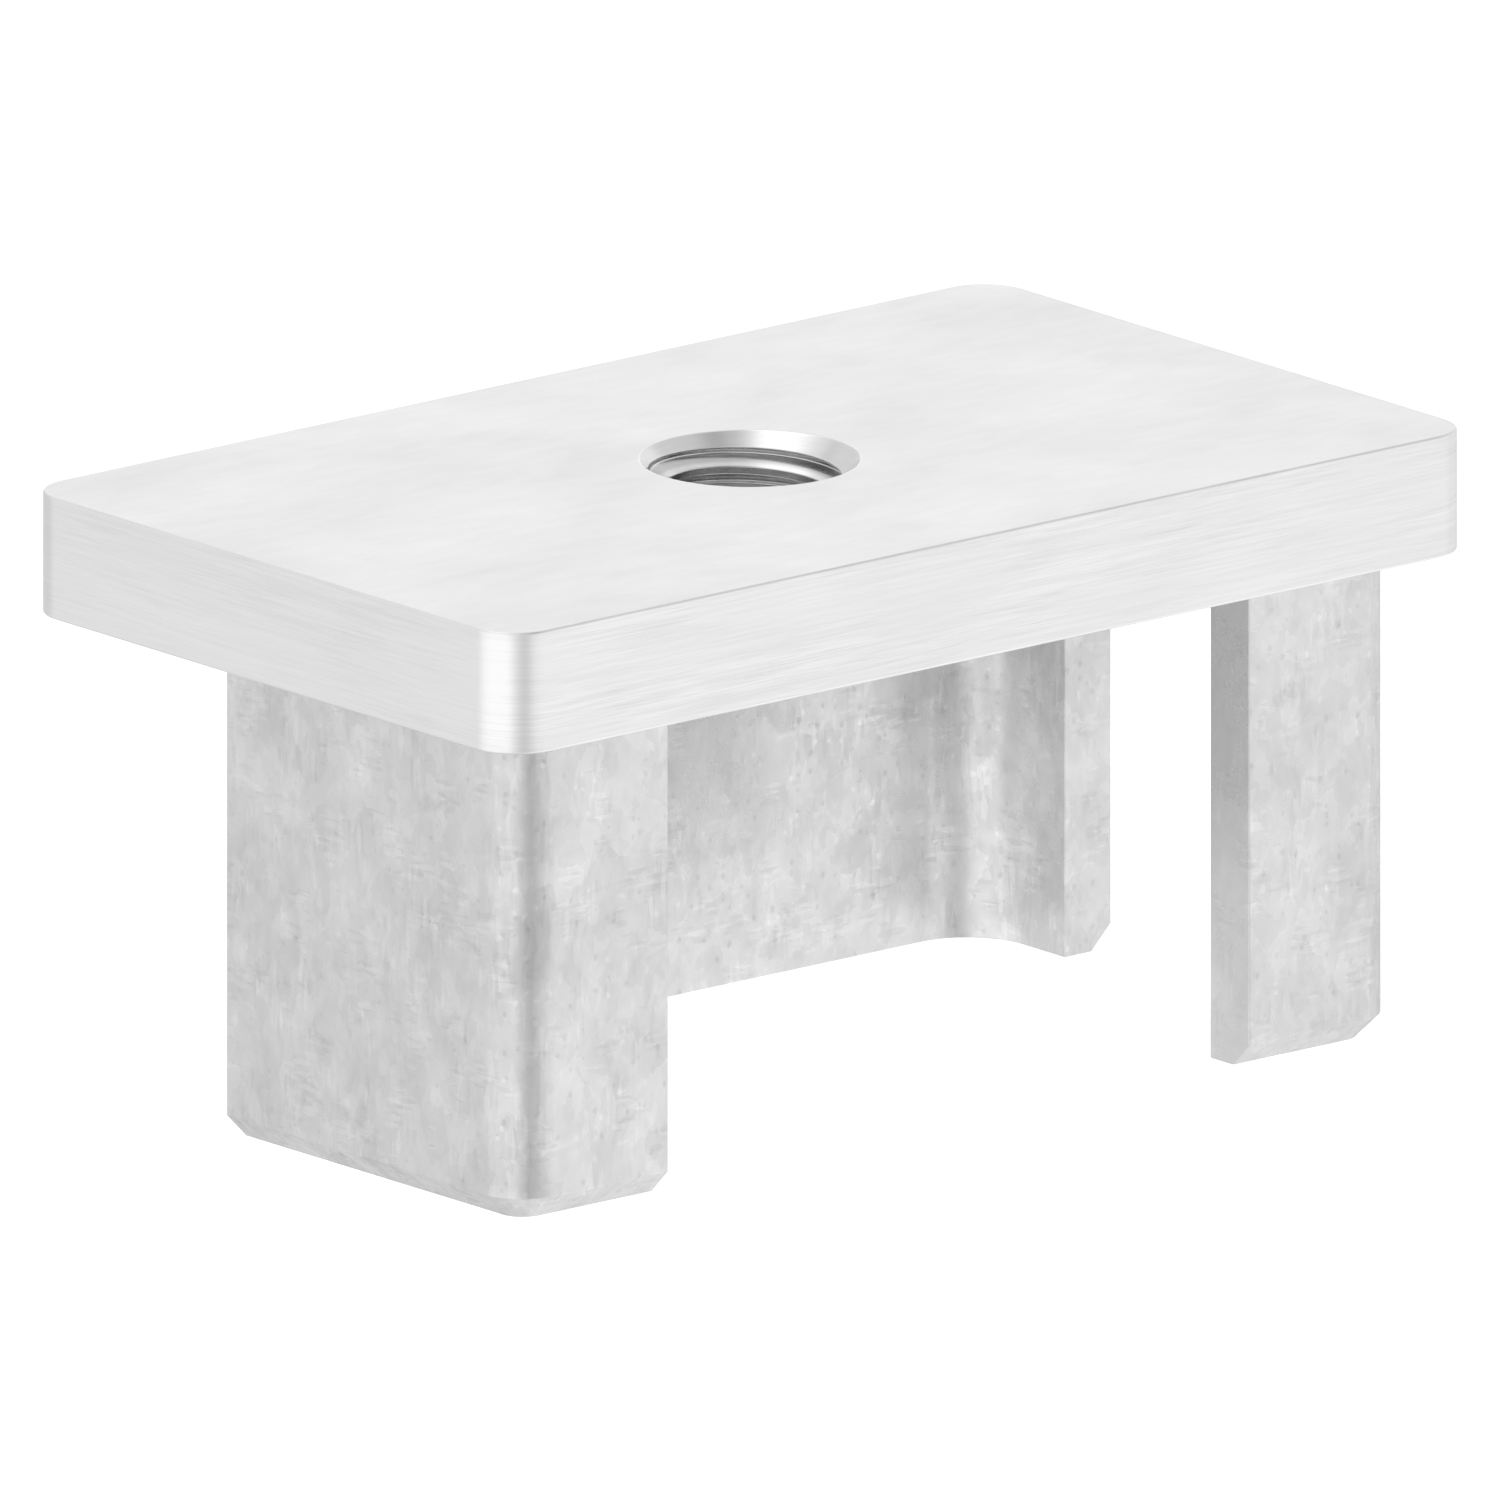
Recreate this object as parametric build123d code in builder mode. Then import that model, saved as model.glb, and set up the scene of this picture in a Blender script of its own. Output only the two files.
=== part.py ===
"""Threaded tube insert: a cap plate with a tapped hole, and a slotted four-sided skirt
that fills the inside of a 50 x 30 x 2 mm rectangular tube.

Frame (millimetres):
    origin  on the thread's axis, in the seat plane, the underside of the cap plate that
            bears on the tube's cut end
    +X      along the plate's 50 mm side
    +Y      along the plate's 30 mm side
    +Z      along the thread's axis, out of the tube
"""
import os

from build123d import *

# ---- driving dimensions, mm ---------------------------------------------------------
TUBE_L = 50.0            # tube's outside size along X; the cap plate covers it
TUBE_W = 30.0            # tube's outside size along Y
TUBE_WALL = 2.0          # tube's wall

PLATE_T = 5.0            # thickness of the cap plate
PLATE_R = 2.0            # radius of its four upright corners
EDGE_BREAK = 0.10        # hand-dressed round on the plate's top and bottom outline

SPIGOT_PLAY = 0.15       # clearance each side between the skirt and the tube's bore
SKIRT_DEPTH = 20.0       # skirt's length below the seat plane
SKIRT_WALL = 2.4         # cast wall of the skirt
SKIRT_R_OUT = 2.0        # radius of the skirt's outer upright corners
SKIRT_R_IN = 2.8         # radius of the skirt's inner upright corners
LEAD_IN = 1.0            # 45 degree lead-in round the skirt's outer bottom edge

SLOT_INSET = 10.0        # the skirt's slots start this far in from the plate's edges

THREAD_MAJOR = 8.0       # M8 x 1.25, right hand
THREAD_PITCH = 1.25
THREAD_MINOR = 6.647     # M8 x 1.25 inside its crests; the solid's plain bore
CSK_D = 8.8              # mouth of the countersink
CSK_ANGLE = 90.0         # included angle of the countersink

# ---- derived sizes ------------------------------------------------------------------
SKIRT_L = TUBE_L - 2 * TUBE_WALL - 2 * SPIGOT_PLAY     # 45.7
SKIRT_W = TUBE_W - 2 * TUBE_WALL - 2 * SPIGOT_PLAY     # 25.7
SLOT_X = TUBE_L / 2 - SLOT_INSET                       # slots reach X = -15 .. 15
SLOT_Y = TUBE_W / 2 - SLOT_INSET                       # slots reach Y = -5 .. 5
REACH = 5.0                                            # how far a cutter runs past the skirt

os.makedirs("parts", exist_ok=True)

with BuildPart() as insert:
    # cap plate, on top of the seat plane
    with BuildSketch(Plane.XY) as plate_outline:
        RectangleRounded(TUBE_L, TUBE_W, PLATE_R)
    extrude(amount=PLATE_T)
    plate_rims = insert.faces().filter_by(Axis.Z).edges()
    fillet(plate_rims, radius=EDGE_BREAK)

    # skirt: a closed rectangular ring below the seat plane
    with BuildSketch(Plane.XY) as skirt_ring:
        RectangleRounded(SKIRT_L, SKIRT_W, SKIRT_R_OUT)
        RectangleRounded(
            SKIRT_L - 2 * SKIRT_WALL,
            SKIRT_W - 2 * SKIRT_WALL,
            SKIRT_R_IN,
            mode=Mode.SUBTRACT,
        )
    extrude(amount=-SKIRT_DEPTH)

    # lead-in on the outer edge of the ring's foot; it turns conical at the corners
    foot = insert.faces().filter_by(Axis.Z).sort_by(Axis.Z)[0]
    chamfer(foot.outer_wire().edges(), length=LEAD_IN)

    # slots through the ring, which leave three L-shaped corner legs:
    # the whole middle of the front wall, the middle of the right end wall, and the
    # back left corner
    with BuildSketch(Plane.XY) as slots:
        with Locations((0, -(SKIRT_W / 2 + REACH) / 2 - SLOT_Y / 2)):
            Rectangle(2 * SLOT_X, SKIRT_W / 2 + REACH - SLOT_Y)
        with Locations(((SKIRT_L / 2 + REACH) / 2 + SLOT_X / 2, 0)):
            Rectangle(SKIRT_L / 2 + REACH - SLOT_X, 2 * SLOT_Y)
        with Locations(
            (
                -(SKIRT_L / 2 + REACH) / 2 - SLOT_X / 2,
                (SKIRT_W / 2 + REACH) / 2 + SLOT_Y / 2,
            )
        ):
            Rectangle(SKIRT_L / 2 + REACH - SLOT_X, SKIRT_W / 2 + REACH - SLOT_Y)
    extrude(amount=-SKIRT_DEPTH, mode=Mode.SUBTRACT)

    # tapped hole: plain bore at the thread's crests, countersunk from the top
    with Locations((0, 0, PLATE_T)):
        CounterSinkHole(
            radius=THREAD_MINOR / 2,
            counter_sink_radius=CSK_D / 2,
            depth=PLATE_T + 1.0,
            counter_sink_angle=CSK_ANGLE,
        )

insert.part.label = "tube_insert"
export_step(insert.part, "parts/tube_insert.step")

print("volume mm3", round(insert.part.volume, 1))
print("bounds", insert.part.bounding_box())
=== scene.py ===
import math

import bmesh
import bpy
import numpy as np
from mathutils import Matrix, Vector
from mathutils.geometry import delaunay_2d_cdt


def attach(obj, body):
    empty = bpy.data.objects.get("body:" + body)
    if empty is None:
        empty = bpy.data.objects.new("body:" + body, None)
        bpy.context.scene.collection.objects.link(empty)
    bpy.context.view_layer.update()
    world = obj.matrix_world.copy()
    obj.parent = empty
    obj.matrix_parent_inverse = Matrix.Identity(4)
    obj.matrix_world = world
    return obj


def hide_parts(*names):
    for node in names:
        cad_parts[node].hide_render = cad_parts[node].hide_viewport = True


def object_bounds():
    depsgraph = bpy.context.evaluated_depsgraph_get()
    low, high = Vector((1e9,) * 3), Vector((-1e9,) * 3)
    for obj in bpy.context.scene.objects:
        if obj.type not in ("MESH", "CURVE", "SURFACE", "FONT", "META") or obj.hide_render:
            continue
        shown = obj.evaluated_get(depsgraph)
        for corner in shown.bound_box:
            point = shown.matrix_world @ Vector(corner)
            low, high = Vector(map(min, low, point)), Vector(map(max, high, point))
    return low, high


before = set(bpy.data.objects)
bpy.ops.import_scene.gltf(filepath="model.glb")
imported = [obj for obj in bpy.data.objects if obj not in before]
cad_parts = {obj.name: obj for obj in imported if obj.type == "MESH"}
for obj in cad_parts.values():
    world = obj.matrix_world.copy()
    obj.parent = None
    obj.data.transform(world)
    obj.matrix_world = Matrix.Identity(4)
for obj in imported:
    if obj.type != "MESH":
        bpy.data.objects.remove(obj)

cad_box = [list(map(float, c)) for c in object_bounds()]

# ======================================================================================
# The insert, in millimetres in the CAD frame: Z = 0 is the seat plane, Z = 5 the top face
# ======================================================================================
MM = 0.001

PLATE = (25.0, 15.0)       # half sizes of the cap plate
PLATE_T = 5.0
PLATE_R = 2.0
EDGE = 0.10                # round on the plate's top and bottom outline

SKIRT = (22.85, 12.85)     # half sizes of the skirt, outside
SKIRT_IN = (20.45, 10.45)  # half sizes of the skirt, inside
SKIRT_R_OUT = 2.0
SKIRT_R_IN = 2.8
SKIRT_Z = -20.0
LEAD_IN = 1.0              # 45 degree lead-in round the outer foot
CAST_R = 0.03              # softness of the foot's edges
CUT_R = 0.06               # and of the slots' outer upright edges, with half of it inside

PITCH = 1.25               # M8 x 1.25, right hand
R_MAJOR = 4.0
R_MINOR = 3.3235
CSK_R = 4.4                # mouth of the 90 degree countersink
ROOT_Z_AT_50 = 4.215       # height of a thread root 50 degrees round from +X

MAT_PLATE, MAT_TOP, MAT_THREAD, MAT_CAST = range(4)


class Shell:
    """Faces gathered patch by patch, with their own normals and places on the texture."""

    def __init__(self):
        self.co, self.faces, self.nrm, self.uv, self.mat = [], [], [], [], []

    def add(self, co, nrm, uv, faces, mat):
        base = len(self.co)
        self.co.extend(map(tuple, np.asarray(co, float)))
        self.nrm.extend(map(tuple, np.asarray(nrm, float)))
        self.uv.extend(map(tuple, np.asarray(uv, float)))
        for f in faces:
            self.faces.append([base + int(i) for i in f])
            self.mat.append(mat)

    def loft(self, co, nrm, uv, mat, outward=True, columns=None):
        """co is [levels][round], levels going down, round going counter-clockwise seen from above, with its first column repeated at the end."""
        m, n = co.shape[:2]
        idx = np.arange(m * n).reshape(m, n)
        faces = []
        a, b = columns or (0, n - 1)
        for j in range(m - 1):
            for i in range(a, b):
                q = (
                    (idx[j, i], idx[j + 1, i], idx[j + 1, i + 1], idx[j, i + 1])
                    if outward
                    else (idx[j, i], idx[j, i + 1], idx[j + 1, i + 1], idx[j + 1, i])
                )
                faces.append(q)
        self.add(co.reshape(-1, 3), nrm.reshape(-1, 3), uv.reshape(-1, 2), faces, mat)

    def fill(self, loops, inside, z, up, to_uv, mat, extra=()):
        """A flat face between loops, each a list of (x, y), kept where inside says so."""
        pts, edges = [], []
        for loop in loops:
            first = len(pts)
            pts.extend((float(x), float(y)) for x, y in loop)
            n = len(loop)
            edges.extend((first + k, first + (k + 1) % n) for k in range(n))
        pts.extend((float(x), float(y)) for x, y in extra)
        out = delaunay_2d_cdt([Vector(p) for p in pts], edges, [], 0, 1e-6)
        where = [src[0] for src in out[3]]
        assert len(where) == len(pts), "a flat face's outline crosses itself"
        faces = []
        for tri in out[2]:
            t = [where[i] for i in tri]
            p = np.array([pts[i] for i in t])
            area = 0.5 * (
                (p[1, 0] - p[0, 0]) * (p[2, 1] - p[0, 1])
                - (p[2, 0] - p[0, 0]) * (p[1, 1] - p[0, 1])
            )
            if abs(area) < 1e-9 or not inside(*p.mean(0)):
                continue
            faces.append(t if (area > 0) == up else t[::-1])
        co = [(x, y, z) for x, y in pts]
        self.add(
            co, [(0, 0, 1.0 if up else -1.0)] * len(co), [to_uv(x, y) for x, y in pts], faces, mat
        )


def in_loop(loop):
    """A test for points inside a closed list of (x, y)."""
    p = np.asarray(loop, float)
    q = np.roll(p, -1, 0)

    def test(x, y):
        crosses = (p[:, 1] > y) != (q[:, 1] > y)
        with np.errstate(divide="ignore", invalid="ignore"):
            at = (q[:, 0] - p[:, 0]) * (y - p[:, 1]) / (q[:, 1] - p[:, 1]) + p[:, 0]
        return bool(np.count_nonzero(crosses & (x < at)) % 2)

    return test


def grid_normals(co, closed=True):
    """Outward normals of a lofted grid, from its own neighbours."""
    if closed:
        ring = co[:, :-1]
        du = np.roll(ring, -1, 1) - np.roll(ring, 1, 1)
        du = np.concatenate([du, du[:, :1]], 1)
    else:
        du = np.gradient(co, axis=1)
    dv = np.empty_like(co)
    dv[1:-1] = co[2:] - co[:-2]
    dv[0], dv[-1] = co[1] - co[0], co[-1] - co[-2]
    n = np.cross(dv, du)
    return n / np.maximum(np.linalg.norm(n, axis=2, keepdims=True), 1e-12)


# ---- where each patch sits on the texture, in millimetres of surface ------------------
# The atlas is a square of ATLAS mm a side. Each place is (corner x, corner y).
ATLAS = 96.0


def atlas(x, y):
    return (x / ATLAS, y / ATLAS)


shell = Shell()

# ---- cap plate ------------------------------------------------------------------------
def plate_loop(inset, n_long=46, n_short=26, n_corner=14):
    """Counter-clockwise outline from the middle of the left end's foot: points and 2-D normals, first point repeated.
    """
    hx, hy, r = PLATE[0] - inset, PLATE[1] - inset, PLATE_R - inset
    cx, cy = hx - r, hy - r
    pts, nrm = [], []

    def side(a, b, n, normal):
        for k in range(n):
            t = k / n
            pts.append((a[0] + (b[0] - a[0]) * t, a[1] + (b[1] - a[1]) * t))
            nrm.append(normal)

    def corner(c, start):
        for k in range(n_corner):
            w = math.radians(start + 90.0 * k / n_corner)
            pts.append((c[0] + r * math.cos(w), c[1] + r * math.sin(w)))
            nrm.append((math.cos(w), math.sin(w)))

    side((-hx, cy), (-hx, -cy), n_short, (-1, 0))
    corner((-cx, -cy), 180)
    side((-cx, -hy), (cx, -hy), n_long, (0, -1))
    corner((cx, -cy), 270)
    side((hx, -cy), (hx, cy), n_short, (1, 0))
    corner((cx, cy), 0)
    side((cx, hy), (-cx, hy), n_long, (0, 1))
    corner((-cx, cy), 90)
    pts.append(pts[0])
    nrm.append(nrm[0])
    return np.array(pts), np.array(nrm)


outline, outline_n = plate_loop(0.0)
run = np.concatenate([[0], np.cumsum(np.linalg.norm(np.diff(outline, axis=0), axis=1))])
profile = []  # inset, z, tilt of the normal from level
for k in range(6):
    a = math.radians(90 - 18 * k)
    profile.append((EDGE * (1 - math.cos(a)), PLATE_T - EDGE + EDGE * math.sin(a), a))
for k in range(1, 12):
    profile.append((0.0, PLATE_T - EDGE - (PLATE_T - 2 * EDGE) * k / 12, 0.0))
for k in range(6):
    a = math.radians(-18 * k)
    profile.append((EDGE * (1 - math.cos(a)), EDGE + EDGE * math.sin(a), a))
co, nr, uv = [], [], []
down = 0.0
for k, (inset, z, tilt) in enumerate(profile):
    if k:
        down += math.hypot(inset - profile[k - 1][0], z - profile[k - 1][1])
    pts, _ = plate_loop(inset)
    co.append(np.column_stack([pts, np.full(len(pts), z)]))
    nr.append(
        np.column_stack([outline_n * math.cos(tilt), np.full(len(pts), math.sin(tilt))])
    )
    uv.append(np.column_stack([run, np.full(len(run), down)]))
co, nr, uv = np.array(co), np.array(nr), np.array(uv)
# strips on the texture, cut at the middle of each corner
cuts = [0, 26 + 7, 86 + 7, 126 + 7, 186 + 7, len(run) - 1]
for i, (a, b) in enumerate(zip(cuts[:-1], cuts[1:])):
    at = uv[:, a : b + 1].copy()
    x0, y0 = ((0.6, 83.4), (0.6, 95.4), (30.0, 83.4), (0.6, 89.4), (60.6, 83.4))[i]
    at = (at - (at[0, 0, 0], 0)) * (1, -1) + (x0, y0)
    shell.loft(co[:, a : b + 1], nr[:, a : b + 1], at / ATLAS, MAT_PLATE)
top_loop, bottom_loop = co[0, :-1, :2], co[-1, :-1, :2]

# ---- tapped hole: a height field of radius over angle and height ------------------------
N_ROUND = 120
FLANK = math.tan(math.radians(30.0))  # height of the flank for each mm of radius
ROOT_HALF = PITCH / 16.0
CREST_HALF = ROOT_HALF + (R_MAJOR - R_MINOR) * FLANK


def smooth_min(a, b, k):
    h = np.clip(0.5 + 0.5 * (b - a) / k, 0, 1)
    return b + (a - b) * h - k * h * (1 - h)


def smooth_max(a, b, k):
    return -smooth_min(-a, -b, k)


def root_z(angle):
    return ROOT_Z_AT_50 + PITCH * (angle - math.radians(50)) / (2 * math.pi)


def hole_radius(angle, z):
    """Radius of the tapped hole's wall."""
    off = (z - root_z(angle) + PITCH / 2) % PITCH - PITCH / 2
    flank = R_MAJOR - (np.abs(off) - ROOT_HALF) / FLANK
    thread = smooth_min(np.full_like(flank, R_MAJOR), flank, 0.05)
    thread = smooth_max(thread, np.full_like(flank, R_MINOR), 0.06)
    sink = CSK_R - (PLATE_T - z)
    return smooth_max(thread, sink, 0.10)


MOUTH = 0.05  # round on the countersink's mouth
angles = np.linspace(0, 2 * math.pi, N_ROUND + 1)
offsets = sorted(
    set(np.round(np.linspace(0, 1, 64, endpoint=False) * PITCH, 6))
    | {round(x % PITCH, 6) for s in (-1, 1) for x in (s * ROOT_HALF, s * CREST_HALF, s * (ROOT_HALF + 0.02), s * (ROOT_HALF - 0.02), s * (CREST_HALF - 0.02), s * (CREST_HALF + 0.02))}
)
rows = {round(n * PITCH + o, 6) for n in range(-6, 4) for o in offsets}
rows = sorted(rows, reverse=True)  # the same in every pitch, so the turn closes on itself
z_top, z_low = PLATE_T - MOUTH, 0.0
rows = [r for r in rows if r + root_z(0) < z_top + PITCH + 0.1 and r + root_z(2 * math.pi) > z_low - PITCH - 0.1]
zz = np.array([[min(max(root_z(a) + r, z_low), z_top) for a in angles] for r in rows])
aa = np.tile(angles, (len(rows), 1))
rr = hole_radius(aa, zz)
rr[zz >= z_top - 1e-9] = CSK_R - MOUTH
eps = 1e-3
dr_dz = (hole_radius(aa, zz + eps) - hole_radius(aa, zz - eps)) / (2 * eps)
dr_da = (hole_radius(aa + eps, zz) - hole_radius(aa - eps, zz)) / (2 * eps)
dr_dz[zz >= z_top - 1e-9] = 1.0
dr_da[zz >= z_top - 1e-9] = 0.0


def from_polar(a, r, z):
    return np.stack([r * np.cos(a), r * np.sin(a), z], -1)


radial = np.stack([np.cos(aa), np.sin(aa), np.zeros_like(aa)], -1)
around = np.stack([-np.sin(aa), np.cos(aa), np.zeros_like(aa)], -1)
up = np.zeros_like(radial)
up[..., 2] = 1.0
hole_n = -radial + dr_dz[..., None] * up + (dr_da / rr)[..., None] * around
hole_n /= np.linalg.norm(hole_n, axis=-1, keepdims=True)
hole_co = from_polar(aa, rr, zz)
# the mouth's small round, above the field
mouth_co, mouth_n = [], []
turn = math.radians(45)
flat_r = CSK_R + MOUTH * 0.42
for k in range(3):
    t = k / 3
    # from the flat face down to the cone
    w = turn * t
    r_k = flat_r - (flat_r - (CSK_R - MOUTH)) * math.sin(w) / math.sin(turn)
    z_k = PLATE_T - MOUTH * (1 - math.cos(w)) / (1 - math.cos(turn))
    mouth_co.append(from_polar(angles, np.full_like(angles, r_k), np.full_like(angles, z_k)))
    n_k = -radial[0] * math.sin(w) + up[0] * math.cos(w)
    mouth_n.append(n_k)
hole_co = np.concatenate([np.array(mouth_co), hole_co])
hole_n = np.concatenate([np.array(mouth_n), hole_n])
depth_run = np.zeros(hole_co.shape[:2])
depth_run[1:] = np.cumsum(np.linalg.norm(np.diff(hole_co, axis=0), axis=-1), axis=0)
hole_uv = np.stack([95.0 - angles[None, :] * 5.0 + 0 * depth_run, 95.4 - depth_run * 1.2], -1)
shell.loft(hole_co, hole_n, hole_uv / ATLAS, MAT_THREAD, outward=False)
mouth_ring, foot_ring = hole_co[0, :-1, :2], hole_co[-1, :-1, :2]

# ---- top face -----------------------------------------------------------------------
in_plate, in_mouth = in_loop(top_loop), in_loop(mouth_ring)
shell.fill(
    [top_loop, mouth_ring],
    lambda x, y: in_plate(x, y) and not in_mouth(x, y),
    PLATE_T,
    True,
    lambda x, y: atlas(0.6 + (x + 25), 45.5 + (y + 15)),
    MAT_TOP,
    [(x, y) for x in np.arange(-22, 22.1, 4) for y in np.arange(-12, 12.1, 4) if math.hypot(x, y) > 6],
)


# ---- skirt legs -----------------------------------------------------------------------
def soft_profile(corners, radii, n=5):
    """A polyline (inset, z) with its inner corners rounded to these radii."""
    out = [corners[0]]
    for k in range(1, len(corners) - 1):
        a, p, b = (np.array(c, float) for c in corners[k - 1 : k + 2])
        d1, d2 = (a - p) / np.linalg.norm(a - p), (b - p) / np.linalg.norm(b - p)
        turn = math.pi - math.acos(float(np.clip(d1 @ d2, -1, 1)))
        t = radii[k - 1] * math.tan(turn / 2)
        c = p + (d1 + d2) / np.linalg.norm(d1 + d2) * radii[k - 1] / math.cos(turn / 2)
        s, e = p + d1 * t - c, p + d2 * t - c
        a0, a1 = math.atan2(s[1], s[0]), math.atan2(e[1], e[0])
        da = (a1 - a0 + math.pi) % (2 * math.pi) - math.pi
        for i in range(n + 1):
            w = a0 + da * i / n
            out.append((c[0] + radii[k - 1] * math.cos(w), c[1] + radii[k - 1] * math.sin(w)))
    return out


outer_prof = soft_profile(
    [(0, 0), (0, SKIRT_Z + LEAD_IN), (LEAD_IN, SKIRT_Z), (LEAD_IN + 0.4, SKIRT_Z)], [CAST_R, CAST_R]
)
inner_prof = soft_profile([(0, 0), (0, SKIRT_Z), (0.4, SKIRT_Z)], [CAST_R])


def inset_at(prof, z):
    """Inset of a profile at a height, read down its side."""
    zs = [p[1] for p in prof]
    ds = [p[0] for p in prof]
    return float(np.interp(-z, [-v for v in zs], ds))


def cut_prof(prof):
    """The profile without its flat foot."""
    return [p for p in prof[:-1]]


outer_side, inner_side = cut_prof(outer_prof), cut_prof(inner_prof)
wall_levels = list(np.linspace(0, SKIRT_Z + LEAD_IN + 0.10, 40))
levels = sorted(
    {round(v, 6) for v in wall_levels}
    | {round(p[1], 6) for p in outer_side[1:]}
    | {round(p[1], 6) for p in inner_side[1:]}
    | {round(v, 6) for v in np.linspace(SKIRT_Z + 0.90, SKIRT_Z + 0.14, 5)},
    reverse=True,
)
levels = [a for a, b in zip(levels, levels[1:]) if a - b > 1e-3] + [SKIRT_Z]


def leg_section(u_end, v_end, c, e):
    """The L-shaped section in (u, v), the leg's corner towards +u +v: points going from the cut at v_end round the outer corner, and back along the inside. c is the outer faces' inset and e that of the others."""
    U, V = SKIRT[0] - c, SKIRT[1] - c
    Ui, Vi = SKIRT_IN[0] + e, SKIRT_IN[1] + e
    ro = SKIRT_R_OUT - c
    ri = SKIRT_R_IN + e
    ue, ve = u_end + e, v_end + e
    rho = CUT_R
    rhi = CUT_R / 2
    cu, cv = U - ro, V - ro
    iu, iv = Ui - ri, Vi - ri
    pts = []

    def line(a, b, n, first=False):
        for k in range(0 if first else 1, n + 1):
            t = k / n
            pts.append((a[0] + (b[0] - a[0]) * t, a[1] + (b[1] - a[1]) * t))

    def arc(cx, cy, r, a0, a1, n):
        for k in range(1, n + 1):
            w = math.radians(a0 + (a1 - a0) * k / n)
            pts.append((cx + r * math.cos(w), cy + r * math.sin(w)))

    nv = max(4, round((SKIRT[1] - SKIRT_R_OUT - v_end) / 0.5))
    nu = max(4, round((SKIRT[0] - SKIRT_R_OUT - u_end) / 0.5))
    line((U, ve + rho), (U, cv), nv, True)            # outer end wall
    arc(cu, cv, ro, 0, 90, 16)                        # outer corner
    line((cu, V), (ue + rho, V), nu)                  # outer long wall
    arc(ue + rho, V - rho, rho, 90, 180, 5)
    line((ue, V - rho), (ue, Vi + rhi), 5)            # cut across the long wall
    arc(ue + rhi, Vi + rhi, rhi, 180, 270, 5)
    line((ue + rhi, Vi), (iu, Vi), nu)                # inner long wall
    arc(iu, iv, ri, 90, 0, 16)                        # inner corner
    line((Ui, iv), (Ui, ve + rhi), nv)                # inner end wall
    arc(Ui + rhi, ve + rhi, rhi, 180, 270, 5)
    line((Ui + rhi, ve), (U - rho, ve), 5)            # cut across the end wall
    arc(U - rho, ve + rho, rho, 270, 360, 5)
    return np.array(pts[:-1] + [pts[0]])


leg_feet = []


def leg(sx, sy, x_cut, y_cut, place, foot_place):
    u_end, v_end = sx * x_cut, sy * y_cut
    rows_, back = [], sx * sy < 0
    for z in levels:
        s = leg_section(u_end, v_end, inset_at(outer_side, z), inset_at(inner_side, z))
        p = s * (sx, sy)
        if back:
            p = p[::-1]
        rows_.append(np.column_stack([p, np.full(len(p), z)]))
    g = np.array(rows_)
    n = grid_normals(g)
    n[-1] = (0, 0, -1)
    n[0, :, 2] = 0
    n[0] /= np.linalg.norm(n[0], axis=-1, keepdims=True)
    length = np.concatenate([[0], np.cumsum(np.linalg.norm(np.diff(g[0], axis=0), axis=1))])
    dz = np.concatenate([[0], np.cumsum(np.linalg.norm(np.diff(g[:, len(length) // 4], axis=0), axis=1))])
    for a, b, x0, y0 in place(length):
        at = np.stack(np.meshgrid(length[a : b + 1] - length[a], dz), -1)
        at = at * (1, -1) + (x0, y0)
        shell.loft(g[:, a : b + 1], n[:, a : b + 1], at / ATLAS, MAT_CAST)
    foot = g[-1, :-1, :2]
    test = in_loop(foot)
    lo, hi = foot.min(0), foot.max(0)
    shell.fill(
        [foot], test, SKIRT_Z, False, lambda x, y: atlas(foot_place[0] - x + hi[0], foot_place[1] + y - lo[1]), MAT_CAST
    )
    leg_feet.append(g[0, :-1, :2])


def whole(x0, y0):
    return lambda length: [(0, len(length) - 1, x0, y0)]


leg(-1, -1, -15, 5, whole(0.6, 43.8), (84.5, 45.0))
leg(1, 1, -15, 5, whole(0.6, 21.8), (52.5, 64.5))
leg(1, -1, 15, -5, whole(56.0, 43.8), (66.0, 73.5))

# ---- underside of the plate -----------------------------------------------------------
in_bottom = in_loop(bottom_loop)
in_foot_ring = in_loop(foot_ring)
in_legs = [in_loop(f) for f in leg_feet]
shell.fill(
    [bottom_loop, foot_ring, *leg_feet],
    lambda x, y: in_bottom(x, y) and not in_foot_ring(x, y) and not any(t(x, y) for t in in_legs),
    0.0,
    False,
    lambda x, y: atlas(52.5 + (25 - x) * 0.6, 45.0 + (y + 15) * 0.6),
    MAT_CAST,
)


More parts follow.
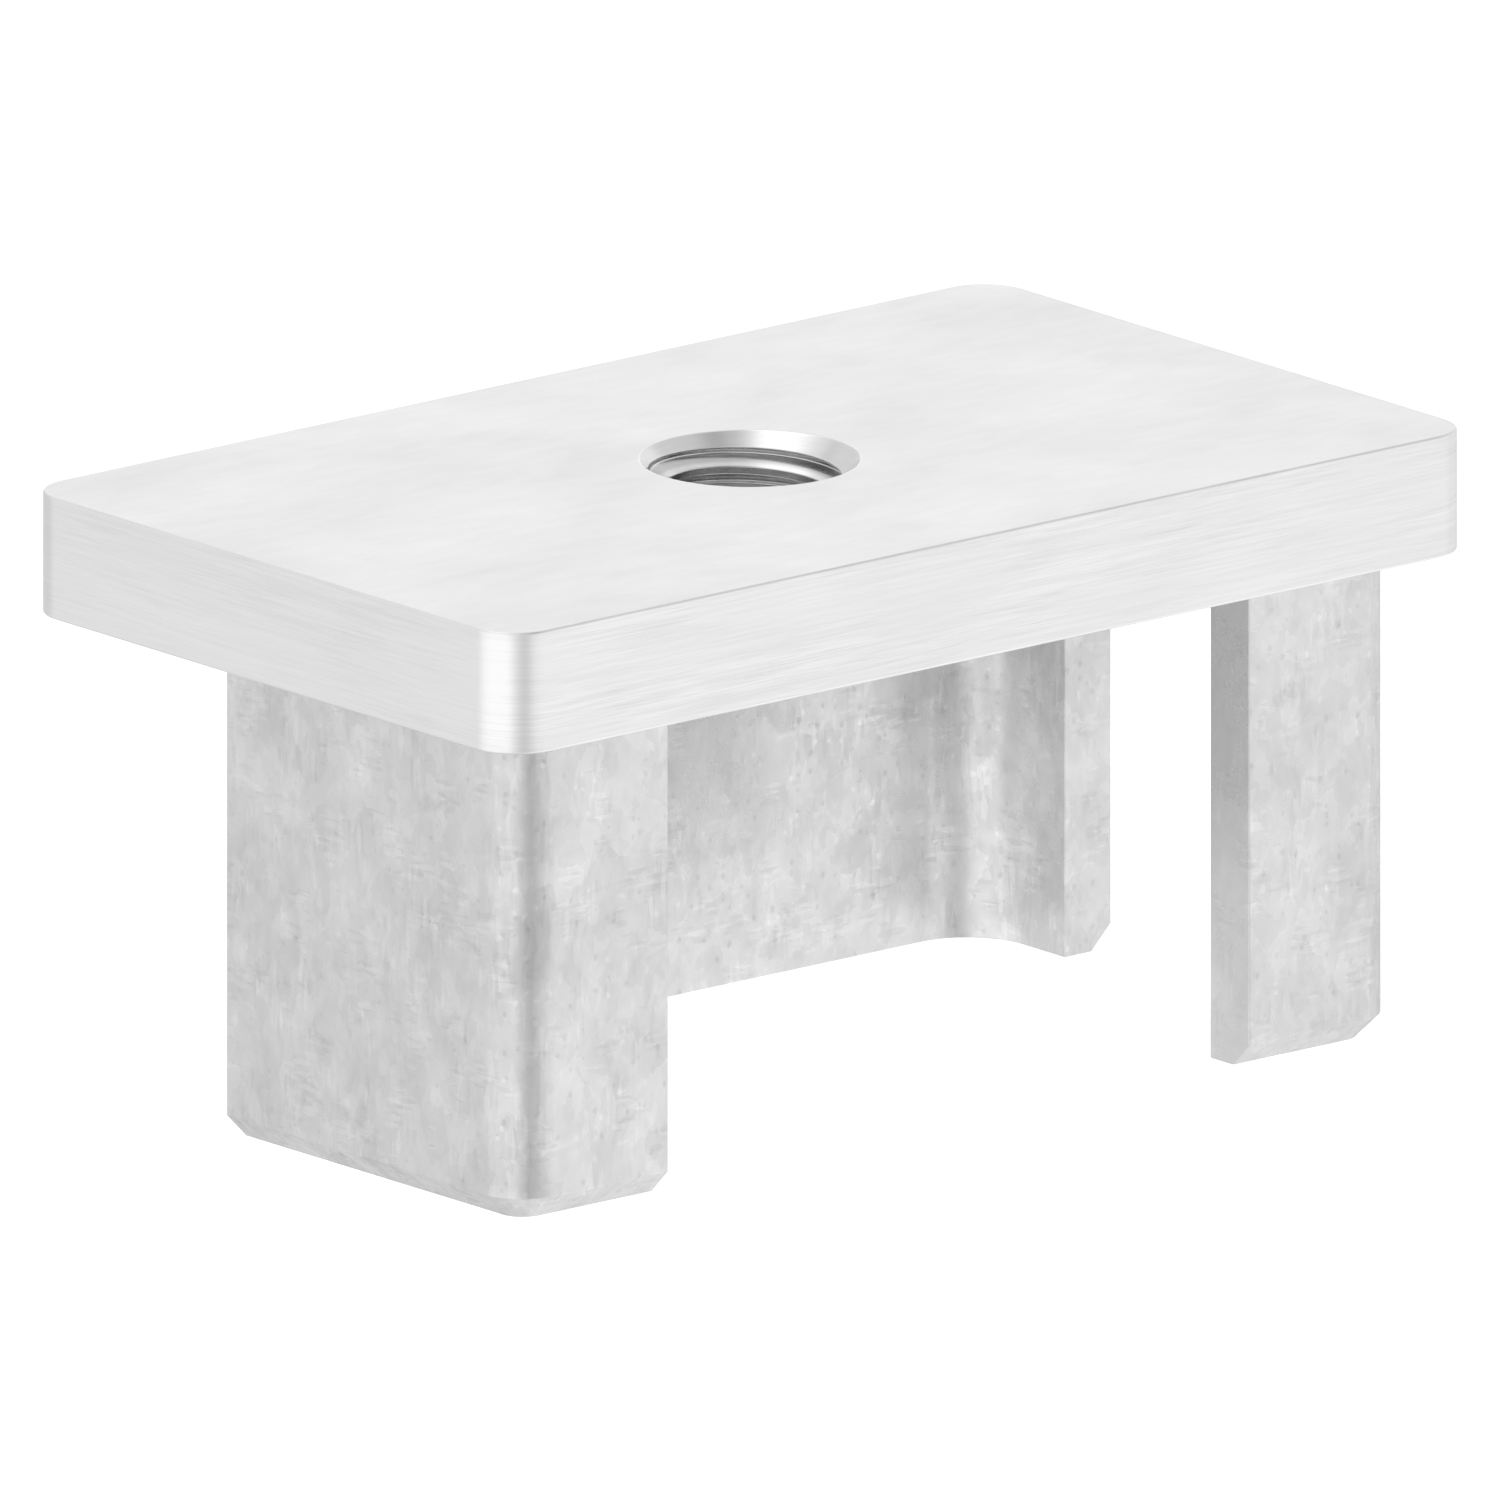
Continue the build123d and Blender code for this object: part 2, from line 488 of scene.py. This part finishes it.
def build(name):
    mesh = bpy.data.meshes.new(name)
    co = np.array(shell.co) * MM
    mesh.from_pydata([tuple(c) for c in co], [], shell.faces)
    uv = mesh.uv_layers.new(name="OFBake")
    verts = np.empty(len(mesh.loops), np.int32)
    mesh.loops.foreach_get("vertex_index", verts)
    uv.uv.foreach_set("vector", np.array(shell.uv, np.float32)[verts].ravel())
    mesh.polygons.foreach_set("material_index", np.array(shell.mat, np.int32))
    keep_n = mesh.attributes.new("keep_n", "FLOAT_VECTOR", "CORNER")
    keep_n.data.foreach_set("vector", np.array(shell.nrm, np.float32)[verts].ravel())
    bm = bmesh.new()
    bm.from_mesh(mesh)
    bmesh.ops.remove_doubles(bm, verts=bm.verts, dist=2e-7)
    bmesh.ops.dissolve_degenerate(bm, edges=bm.edges, dist=1e-8)
    open_edges = [e for e in bm.edges if not e.is_manifold]
    print("mesh", len(bm.verts), "verts", len(bm.faces), "faces", sum(len(f.verts) - 2 for f in bm.faces), "triangles", len(open_edges), "open edges", "volume mm3", round(bm.calc_volume(signed=True) * 1e9, 1))
    for f in bm.faces:
        f.smooth = True
    bm.to_mesh(mesh)
    bm.free()
    kept = np.empty(len(mesh.loops) * 3, np.float32)
    mesh.attributes["keep_n"].data.foreach_get("vector", kept)
    kept = kept.reshape(-1, 3)
    mesh.normals_split_custom_set([tuple(v) for v in kept])
    mesh.attributes.remove(mesh.attributes["keep_n"])
    mesh.update()
    ob = bpy.data.objects.new(name, mesh)
    bpy.context.scene.collection.objects.link(ob)
    return ob


insert = build("threaded_insert")


# ======================================================================================
# Materials
# ======================================================================================
class Tree:
    """A few short ways to add shader nodes. Places are in millimetres."""

    def __init__(self, tree):
        self.t = tree
        tree.nodes.clear()
        self.seen = {}

    def node(self, kind, **props):
        n = self.t.nodes.new(kind)
        for k, v in props.items():
            setattr(n, k, v)
        return n

    def link(self, a, b):
        self.t.links.new(a, b)

    def put(self, value, socket):
        if isinstance(value, bpy.types.NodeSocket):
            self.link(value, socket)
        else:
            socket.default_value = value

    def math(self, op, a, b=0.0, c=None, clamp=False):
        n = self.node("ShaderNodeMath", operation=op, use_clamp=clamp)
        self.put(a, n.inputs[0])
        self.put(b, n.inputs[1])
        if c is not None:
            self.put(c, n.inputs[2])
        return n.outputs[0]

    def product(self, *parts):
        out = parts[0]
        for p in parts[1:]:
            out = self.math("MULTIPLY", out, p)
        return out

    def total(self, *parts):
        out = parts[0]
        for p in parts[1:]:
            out = self.math("ADD", out, p)
        return out

    def place(self):
        if "place" not in self.seen:
            tc = self.node("ShaderNodeTexCoord")
            m = self.node("ShaderNodeVectorMath", operation="SCALE")
            m.inputs["Scale"].default_value = 1000.0
            self.link(tc.outputs["Object"], m.inputs[0])
            self.seen["place"] = m.outputs[0]
        return self.seen["place"]

    def xyz(self):
        if "xyz" not in self.seen:
            sep = self.node("ShaderNodeSeparateXYZ")
            self.link(self.place(), sep.inputs[0])
            self.seen["xyz"] = tuple(sep.outputs)
        return self.seen["xyz"]

    def coords(self, scale, offset=(0, 0, 0)):
        m = self.node("ShaderNodeMapping")
        m.inputs["Scale"].default_value = scale
        m.inputs["Location"].default_value = offset
        self.link(self.place(), m.inputs["Vector"])
        return m.outputs["Vector"]

    def noise(self, scale, offset=(0, 0, 0), detail=2.0, rough=0.5, distort=0.0):
        """Noise about 0, with this many features a millimetre along each axis."""
        n = self.node("ShaderNodeTexNoise", noise_dimensions="3D")
        n.inputs["Scale"].default_value = 1.0
        n.inputs["Detail"].default_value = detail
        n.inputs["Roughness"].default_value = rough
        n.inputs["Distortion"].default_value = distort
        self.link(self.coords(scale, offset), n.inputs["Vector"])
        return self.math("SUBTRACT", n.outputs["Fac"], 0.5)

    def patches(self, scale, offset=(0, 0, 0), wander=0.0, wander_scale=(2.0, 2.0, 2.0)):
        """Flat patches, each with one random value about 0, and how far a place is from its patch's middle."""
        place = self.coords(scale, offset)
        if wander:
            n = self.node("ShaderNodeTexNoise", noise_dimensions="3D")
            n.inputs["Scale"].default_value = 1.0
            n.inputs["Detail"].default_value = 1.0
            self.link(self.coords(wander_scale, offset), n.inputs["Vector"])
            m = self.node("ShaderNodeVectorMath", operation="MULTIPLY_ADD")
            self.link(n.outputs["Color"], m.inputs[0])
            m.inputs[1].default_value = (wander, wander, wander)
            self.link(place, m.inputs[2])
            place = m.outputs[0]
        v = self.node("ShaderNodeTexVoronoi", voronoi_dimensions="3D", feature="F1")
        v.inputs["Scale"].default_value = 1.0
        v.inputs["Randomness"].default_value = 1.0
        self.link(place, v.inputs["Vector"])
        sep = self.node("ShaderNodeSeparateColor")
        self.link(v.outputs["Color"], sep.inputs[0])
        return self.math("SUBTRACT", sep.outputs[0], 0.5), v.outputs["Distance"]

    def step(self, v, a, b, lo=0.0, hi=1.0):
        n = self.node("ShaderNodeMapRange", interpolation_type="SMOOTHSTEP")
        self.put(v, n.inputs["Value"])
        n.inputs["From Min"].default_value = a
        n.inputs["From Max"].default_value = b
        n.inputs["To Min"].default_value = lo
        n.inputs["To Max"].default_value = hi
        return n.outputs["Result"]

    def grey(self, v):
        n = self.node("ShaderNodeCombineColor")
        for k in range(3):
            self.link(v, n.inputs[k])
        return n.outputs[0]

    def bump(self, height, distance, strength=1.0):
        n = self.node("ShaderNodeBump")
        n.inputs["Strength"].default_value = strength
        n.inputs["Distance"].default_value = distance * MM
        self.link(height, n.inputs["Height"])
        return n.outputs["Normal"]


def metal(name):
    m = bpy.data.materials.new(name)
    m.use_nodes = True
    t = Tree(m.node_tree)
    p = t.node("ShaderNodeBsdfPrincipled")
    out = t.node("ShaderNodeOutputMaterial")
    t.link(p.outputs[0], out.inputs["Surface"])
    p.inputs["Metallic"].default_value = 1.0
    return t, p, m


def sides():
    """Ground sides of the cap plate: fine lines drawn along the outline."""
    t, p, m = metal("steel_brushed_sides")
    lines = t.noise((0.24, 0.24, 6.0), detail=3.0, rough=0.62, distort=0.05)
    broad = t.noise((0.12, 0.12, 1.7), (3.1, 7.7, 1.3), 2.0)
    hairs = t.noise((0.36, 0.36, 15.0), (9.4, 2.2, 5.8), 2.0, 0.6)
    deep = t.step(t.noise((0.28, 0.28, 9.0), (1.7, 4.9, 8.1), 1.0), 0.12, 0.30)
    bright = t.step(t.noise((0.26, 0.26, 7.0), (6.3, 0.4, 2.6), 1.0), 0.13, 0.30)
    slow = t.noise((0.085, 0.085, 0.24), (4.4, 1.2, 6.1), 1.0)
    end = t.step(t.math("ABSOLUTE", t.xyz()[0]), 24.0, 24.8)
    ends = t.product(t.math("MULTIPLY_ADD", end, -0.25, 1.0), t.step(t.noise((0.13, 0.13, 0.45), (8.0, 2.0, 3.0), 1.0), -0.14, 0.14, 0.55, 1.40))
    # painted light: the plate's left end face is lightened towards its front by up to 0.016, and darkened by 0.002
    # towards its back
    left = t.product(t.step(t.xyz()[0], -24.6, -24.2, 1.0, 0.0), t.step(t.xyz()[1], -13.5, 0.0, 0.016, -0.002))
    grain = t.product(ends, t.total(
        t.math("MULTIPLY", lines, 0.77), t.math("MULTIPLY", broad, 0.42), t.math("MULTIPLY", hairs, 0.24)
    ))
    tone = t.total(
        t.math("MULTIPLY_ADD", grain, 0.28, 0.958), t.math("MULTIPLY", slow, 0.085),
        t.product(ends, t.math("MULTIPLY", deep, -0.05)), t.product(ends, t.math("MULTIPLY", bright, 0.035)),
        t.math("MULTIPLY", end, 0.012), left,
    )
    t.link(t.grey(tone), p.inputs["Base Color"])
    dressed = t.step(t.xyz()[2], 4.88, 4.91, 0.0, 0.12)
    t.link(t.math("ADD", t.math("MULTIPLY_ADD", grain, -0.22, 0.245), dressed), p.inputs["Roughness"])
    t.link(t.bump(grain, 0.004), p.inputs["Normal"])
    return m


def top():
    """Top of the cap plate: an even satin finish with faint clouds in it."""
    t, p, m = metal("steel_satin_top")
    cloud = t.noise((0.11, 0.16, 0.15), (2.2, 5.1, 0.0), 3.0, 0.55, 0.4)
    wipe = t.noise((0.35, 1.3, 1.0), (7.0, 1.0, 3.0), 3.0, 0.6)
    fine = t.noise((6.0, 6.0, 6.0), (1.0, 8.0, 3.0), 2.0, 0.6)
    mix = t.total(
        t.math("MULTIPLY", cloud, 0.64), t.math("MULTIPLY", wipe, 0.33), t.math("MULTIPLY", fine, 0.02)
    )
    t.link(t.grey(t.math("MULTIPLY_ADD", mix, 0.28, 0.950)), p.inputs["Base Color"])
    t.link(t.math("MULTIPLY_ADD", mix, -0.10, 0.385), p.inputs["Roughness"])
    t.link(t.bump(fine, 0.0003), p.inputs["Normal"])
    return m


def bore():
    """Turned countersink, and the cut thread below it, with painted shade and light in its tone: bands across crests,
    flanks and root, and darker downward faces.
    """
    t, p, m = metal("steel_cut_thread")
    x, y, z = t.xyz()
    r = t.math("SQRT", t.total(t.product(x, x), t.product(y, y)))
    below = t.step(t.math("SUBTRACT", t.math("ADD", r, 0.6), z), 0.01, 0.045)
    turned = t.noise((0.7, 0.7, 11.0), detail=2.0, rough=0.6)
    tool = t.noise((1.6, 1.6, 2.4), (4.0, 6.0, 2.0), 3.0, 0.6)
    # painted shade and light on the thread: darker at the crests and across the middle of the flanks, lighter towards
    # the root
    flank = t.math("ADD", t.step(r, 3.325, 3.37, 0.60, 0.97), t.step(r, 3.44, 3.64, 0.0, -0.24))
    root = t.step(r, 3.84, 3.97, 0.0, 0.20)
    cut = t.total(flank, root, t.math("MULTIPLY", tool, 0.10))
    smooth = t.math("MULTIPLY_ADD", turned, 0.10, 0.950)
    nz = t.node("ShaderNodeSeparateXYZ")
    t.link(t.node("ShaderNodeNewGeometry").outputs["Normal"], nz.inputs[0])
    # painted shade: faces turned downward are darkened by up to 0.42, with the tone held at 0.48 or more
    downward_painted_shade = t.step(nz.outputs[2], -0.60, -0.25, 0.42, 0.0)
    cut = t.math("MAXIMUM", t.math("SUBTRACT", cut, downward_painted_shade), 0.48)
    tone = t.total(t.product(t.math("SUBTRACT", 1.0, below), smooth), t.product(below, cut))
    t.link(t.grey(tone), p.inputs["Base Color"])
    t.link(t.total(t.math("MULTIPLY", turned, -0.12), t.math("MULTIPLY_ADD", below, 0.02, 0.175)), p.inputs["Roughness"])
    t.link(t.bump(turned, 0.002), p.inputs["Normal"])
    return m


def cast():
    """Blasted casting skin of the skirt: flat-toned patches, short scratches both ways, pits and light specks, with
    painted shade on its outer corners, an inner corner and one cut face, and painted light on its inner walls and one
    cut edge.
    """
    t, p, m = metal("steel_cast_skin")
    x, y, z = t.xyz()
    ax, ay = t.math("ABSOLUTE", x), t.math("ABSOLUTE", y)
    corner = t.product(t.step(ax, 20.75, 21.35), t.step(ay, 10.75, 11.35))
    brow = t.product(t.step(x, 19.9, 21.2), t.step(y, -12.4, -12.0, 1.0, 0.0))
    slow = t.noise((0.22, 0.22, 0.16), (5.0, 1.0, 9.0), 2.0, 0.5)
    cloud = t.noise((0.60, 0.60, 0.46), (0.0, 0.0, 0.0), 2.0, 0.65, 0.3)
    big, _ = t.patches((0.62, 0.62, 0.42), (3.0, 6.0, 1.0), 0.9, (1.3, 1.3, 0.9))
    small, _ = t.patches((1.5, 1.5, 1.0), (9.0, 2.0, 7.0), 0.7, (2.6, 2.6, 1.8))
    bits, near = t.patches((3.1, 3.1, 2.5), (5.0, 3.0, 8.0), 0.4, (5.0, 5.0, 4.0))
    busy = t.step(t.noise((0.55, 0.55, 0.42), (7.2, 3.3, 2.1), 2.0), -0.03, 0.10)
    busy = t.math("MAXIMUM", busy, t.math("MULTIPLY", corner, 0.9))
    down, _ = t.patches((5.0, 5.0, 0.95), (2.0, 9.0, 3.0), 0.25, (1.5, 1.5, 1.0))
    down = t.product(t.total(t.step(down, 0.26, 0.36), t.step(down, -0.36, -0.26, -1.0, 0.0)), busy)
    lay = t.step(t.noise((0.6, 0.6, 0.7), (1.2, 8.3, 6.1), 1.0), 0.03, 0.12)
    across, _ = t.patches((1.15, 1.15, 5.6), (3.0, 5.0, 1.0), 0.2, (1.2, 1.2, 2.0))
    across = t.product(t.total(t.step(across, 0.24, 0.34), t.step(across, -0.34, -0.24, -1.0, 0.0)), lay)
    dot = t.step(near, 0.22, 0.44, 1.0, 0.0)
    specks = t.product(dot, t.step(bits, 0.34, 0.38), t.math("MULTIPLY_ADD", busy, 0.7, 0.3))
    pits = t.product(dot, t.step(bits, -0.42, -0.38, 1.0, 0.0))
    skin = t.total(
        t.math("MULTIPLY", slow, 0.17),
        t.math("MULTIPLY", cloud, 0.23),
        t.math("MULTIPLY", big, 0.065),
        t.math("MULTIPLY", small, 0.056),
        t.math("MULTIPLY", bits, 0.014),
        t.math("MULTIPLY", down, 0.042),
        t.math("MULTIPLY", across, 0.045),
        t.math("MULTIPLY", specks, 0.085),
        t.math("MULTIPLY", pits, -0.080),
    )
    relief = t.product(t.total(cloud, t.math("MULTIPLY", big, 0.15), t.math("MULTIPLY", small, 0.10)), t.math("MULTIPLY_ADD", corner, -0.85, 1.0))
    relief = t.total(relief, t.math("MULTIPLY", down, 0.02), t.math("MULTIPLY", pits, -0.04))
    # painted shade: the skirt's outer corners are darkened, by 0.12 on the left (a third of that at the foot) and by
    # 0.03 on the right and on the front-right leg's front face near its corner
    corner_painted_shade = t.product(corner, t.step(z, -19.05, -18.9, 0.3, 1.0), t.step(x, -5.0, 5.0, 0.12, 0.0))   # the outer corners are darker
    corner_painted_shade = t.math("ADD", corner_painted_shade, t.math("MULTIPLY", t.math("MAXIMUM", brow, t.product(corner, t.step(x, 4.0, 5.0))), 0.03))
    # painted light: the skirt's inner walls are lightened towards the bottom, by up to 0.085, and less towards the
    # right end
    inside = t.product(t.step(ax, 20.6, 20.9, 1.0, 0.0), t.step(ay, 10.6, 10.9, 1.0, 0.0), t.step(z, -19.5, -8.5, 1.0, 0.0), t.step(x, 5.0, 14.0, 1.0, 0.55))
    def line(v, at, half, soft):
        """1 in a narrow band about a place, 0 away from it."""
        return t.step(t.math("ABSOLUTE", t.math("SUBTRACT", v, at)), half, half + soft, 1.0, 0.0)

    # painted shade: two thin dark lines down the back right inner corner, at x 17.1 and 19.15, darker by 0.022 and
    # 0.045, stopping just under the plate
    nook_painted_shade = t.product(t.step(ay, 10.6, 10.9, 1.0, 0.0), t.step(y, 6.0, 9.0), t.step(z, -0.4, -0.1, 1.0, 0.0))
    nook_painted_shade = t.product(nook_painted_shade, t.math("ADD", t.math("MULTIPLY", line(x, 17.1, 0.2, 0.5), 0.022), t.math("MULTIPLY", line(x, 19.15, 0.1, 0.5), 0.045)))
    right_cut = t.product(line(x, 15.0, 0.03, 0.04), t.step(y, -5.0, -4.0, 1.0, 0.0))
    shade = t.product(right_cut, t.step(z, -8.2, -6.6, 1.0, 0.0), t.step(z, -18.5, -15.0, 0.0, 1.0), 0.055)
    # painted highlight: the front-left leg's front face is lightened by 0.028 towards its upright cut edge
    cut_edge_painted_light = t.product(t.step(x, -16.6, -15.1), t.step(x, -6.0, -5.0, 1.0, 0.0), t.step(y, -12.4, -12.0, 1.0, 0.0))
    # painted shade and light scale the skin's tone here: darker corners, corner lines and cut face, lighter inner walls
    # and cut edge
    level = t.total(
        t.math("SUBTRACT", 1.0, corner_painted_shade), t.math("MULTIPLY", inside, 0.085), t.math("MULTIPLY", cut_edge_painted_light, 0.028),
        t.math("MULTIPLY", nook_painted_shade, -1.0), t.math("MULTIPLY", shade, -1.0),
    )
    skin = t.product(skin, t.math("MULTIPLY_ADD", right_cut, -0.45, 1.0))
    tone = t.product(t.math("ADD", skin, 0.802), level)
    t.link(t.grey(tone), p.inputs["Base Color"])
    t.link(t.math("MULTIPLY_ADD", skin, -0.45, 0.275), p.inputs["Roughness"])
    t.link(t.bump(relief, 0.008), p.inputs["Normal"])
    return m


for mat in (sides(), top(), bore(), cast()):
    insert.data.materials.append(mat)

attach(insert, "root")
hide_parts("tube_insert")

# ======================================================================================
# Floor, light, camera
# ======================================================================================
low = cad_box[0]


def floor(name, depth):
    mesh = bpy.data.meshes.new(name)
    bm = bmesh.new()
    bmesh.ops.create_grid(bm, x_segments=8, y_segments=8, size=2.0, matrix=Matrix.Translation((0, 0, low[2] - depth)))
    bm.to_mesh(mesh)
    bm.free()
    ob = bpy.data.objects.new(name, mesh)
    bpy.context.scene.collection.objects.link(ob)
    m = bpy.data.materials.new("pale_" + name)
    m.use_nodes = True
    t = Tree(m.node_tree)
    p = t.node("ShaderNodeBsdfPrincipled")
    p.inputs["Base Color"].default_value = (0.8, 0.8, 0.8, 1)
    p.inputs["Roughness"].default_value = 1.0
    p.inputs["Specular IOR Level"].default_value = 0.0
    p.inputs["Emission Color"].default_value = (1, 1, 1, 1)
    p.inputs["Emission Strength"].default_value = 0.85
    out = t.node("ShaderNodeOutputMaterial")
    t.link(p.outputs[0], out.inputs["Surface"])
    mesh.materials.append(m)
    ob.visible_glossy = False
    ob.visible_diffuse = False


floor("floor", 0.00002)
floor("floor_apron", 0.060)  # carries the pale floor on in views from almost level


def studio():
    """Soft light from all round, with broad panels in it. Bearings are in degrees round from the camera, + to its right; heights are degrees up."""
    panels = [
        # bearing: middle, half width, softness left, right; height: middle, half, softness; strength
        (-40, 48, 30, 12, -6, 32, 24, 0.12),    # broad panel at the left
        (-24, 55, 43, 43, 18, 28, 27, 0.50),    # its upper half, over the camera
        (-84, 97, 55, 77, 79, 26, 16, 0.34),    # ceiling panel, left of the middle
        (92, 50, 42, 34, -31, 11, 31, 0.43),    # low panel at the right
        (-182, 14, 22, 24, 5, 16, 36, 0.32),    # strip behind
        (-136, 24, 20, 14, -10, 40, 30, -0.10), # gap at the far left
        (-123, 7, 14, 14, 35, 9, 16, -0.13),    # dark post standing in it
        (122, 12, 18, 18, -10, 30, 30, -0.06),  # gap at the far right
        (160, 40, 40, 40, -60, 18, 24, 0.12),   # floor bounce behind
        (13, 20, 25, 30, -11, 21, 29, -0.26),   # gap beside the camera
        (-15, 70, 40, 40, 21, 25, 12, -0.38),   # dimmer half of the panel over the camera
        (60, 78, 39, 84, 58, 33, 24, -0.25),    # darker ceiling at the right
        (70, 14, 16, 16, 66, 7, 12, -0.10),     # its darkest part
        (106, 22, 18, 18, 45, 13, 14, 0.08),    # soft patch beyond it
        (100, 50, 40, 40, 12, 12, 16, 0.12),    # soft panel at the right
        (-96, 16, 16, 12, 26, 8, 12, 0.10),     # small panel at the left
    ]
    world = bpy.data.worlds.new("studio")
    bpy.context.scene.world = world
    world.use_nodes = True
    t = Tree(world.node_tree)
    tc = t.node("ShaderNodeTexCoord")
    turn = t.node("ShaderNodeVectorRotate", rotation_type="Z_AXIS")
    turn.inputs["Angle"].default_value = math.radians(40.0)
    t.link(tc.outputs["Generated"], turn.inputs["Vector"])
    sep = t.node("ShaderNodeSeparateXYZ")
    t.link(turn.outputs[0], sep.inputs[0])
    x, y, z = sep.outputs
    bearing = t.math("MULTIPLY", t.math("ARCTAN2", x, t.math("MULTIPLY", y, -1.0)), 180 / math.pi)
    height = t.math("MULTIPLY", t.math("ARCSINE", z), 180 / math.pi)
    light = 0.75
    for mid, half, left, right, h_mid, h_half, h_soft, strength in panels:
        off = t.math("SUBTRACT", t.math("FLOORED_MODULO", t.math("SUBTRACT", bearing, mid - 180.0), 360.0), 180.0)
        shape = t.product(
            t.step(off, -half - left / 2, -half + left / 2),
            t.step(off, half - right / 2, half + right / 2, 1.0, 0.0),
            t.step(height, h_mid - h_half - h_soft / 2, h_mid - h_half + h_soft / 2),
            t.step(height, h_mid + h_half - h_soft / 2, h_mid + h_half + h_soft / 2, 1.0, 0.0),
        )
        light = t.math("MULTIPLY_ADD", shape, strength, light)
    bg = t.node("ShaderNodeBackground")
    t.link(t.grey(light), bg.inputs["Color"])
    out = t.node("ShaderNodeOutputWorld")
    t.link(bg.outputs[0], out.inputs["Surface"])


studio()

scene = bpy.context.scene
scene.view_settings.view_transform = "Standard"
scene.view_settings.look = "None"
scene.view_settings.exposure = 0.0
scene.view_settings.gamma = 1.0

AZ, EL = math.radians(-40.0), math.radians(15.0)
back = Vector((math.sin(AZ) * math.cos(EL), -math.cos(AZ) * math.cos(EL), math.sin(EL)))
target = Vector((0, 0, (PLATE_T - 11.954) * MM))
cam = bpy.data.cameras.new("camera")
cam.type = "ORTHO"
cam.ortho_scale = 1500.0 / 25.28 * MM
cam.clip_start, cam.clip_end = 0.001, 10.0
cam_ob = bpy.data.objects.new("camera", cam)
scene.collection.objects.link(cam_ob)
cam_ob.location = target + back * 0.4
cam_ob.rotation_euler = back.to_track_quat("Z", "Y").to_euler()
scene.camera = cam_ob
